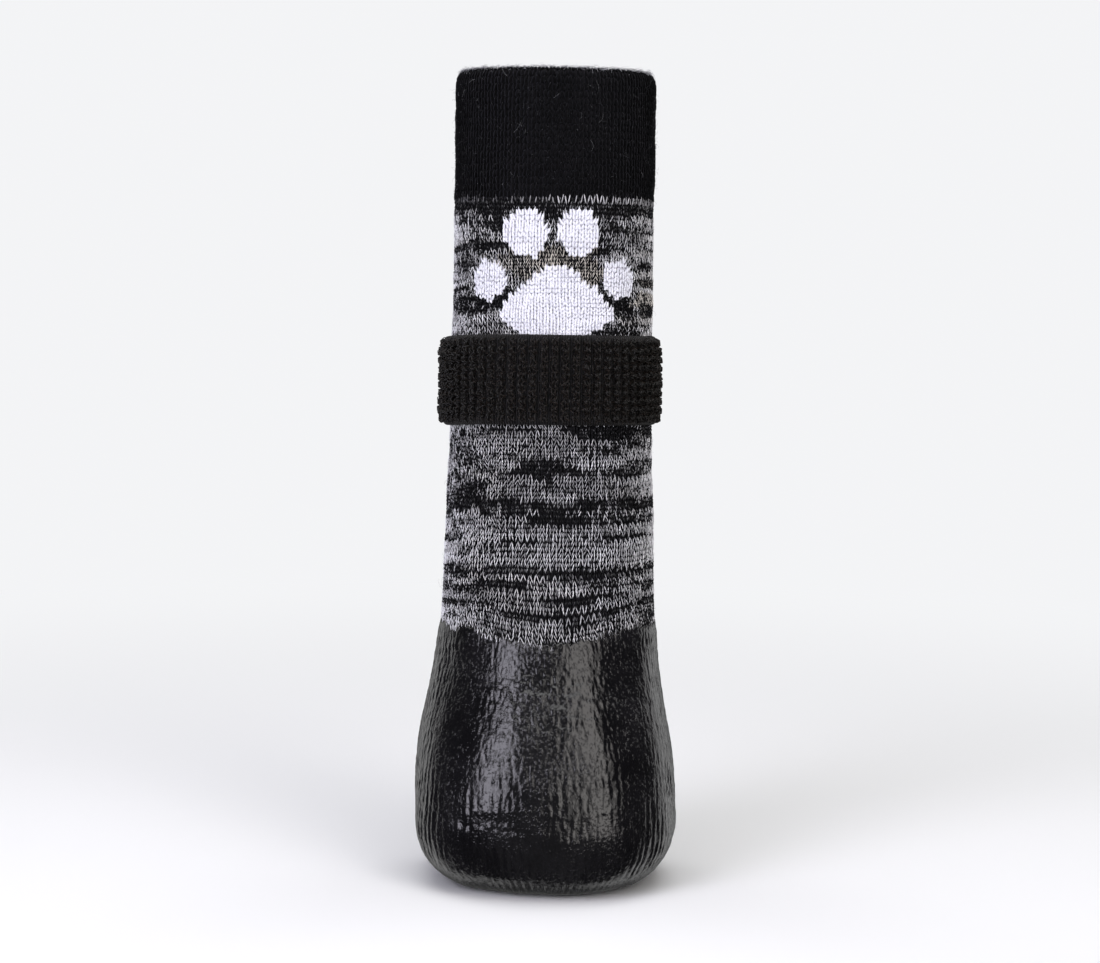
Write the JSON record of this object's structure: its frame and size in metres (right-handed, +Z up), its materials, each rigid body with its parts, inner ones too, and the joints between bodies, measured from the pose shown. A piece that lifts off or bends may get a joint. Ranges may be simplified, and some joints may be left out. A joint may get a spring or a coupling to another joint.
{
  "type": "dog sock",
  "caption": "Hollow knitted dog sock with a folded rib cuff, a rubber-dipped round foot with a flat sole, and a loop-pile strap closed behind the leg by a hook tab.",
  "frame": {"origin": "on the floor, under the middle of the bounding box", "axes": "+Z up along the leg, -Y towards the toe, X across the sock"},
  "size_m": [0.0588, 0.0744, 0.1812],
  "materials": {
    "heather_knit": "matte heather knit in black and grey yarn, with a black rib cuff and a white knitted paw ornament",
    "dipped_rubber": "glossy black rubber over knit",
    "loop_pile": "black looped pile with flat selvedges",
    "hook_tape": "black woven backing"
  },
  "bodies": {
    "root": {"knit_sock": "heather_knit", "rubber_boot": "dipped_rubber", "strap": "loop_pile", "strap_tab": "hook_tape"}
  },
  "joints": []
}
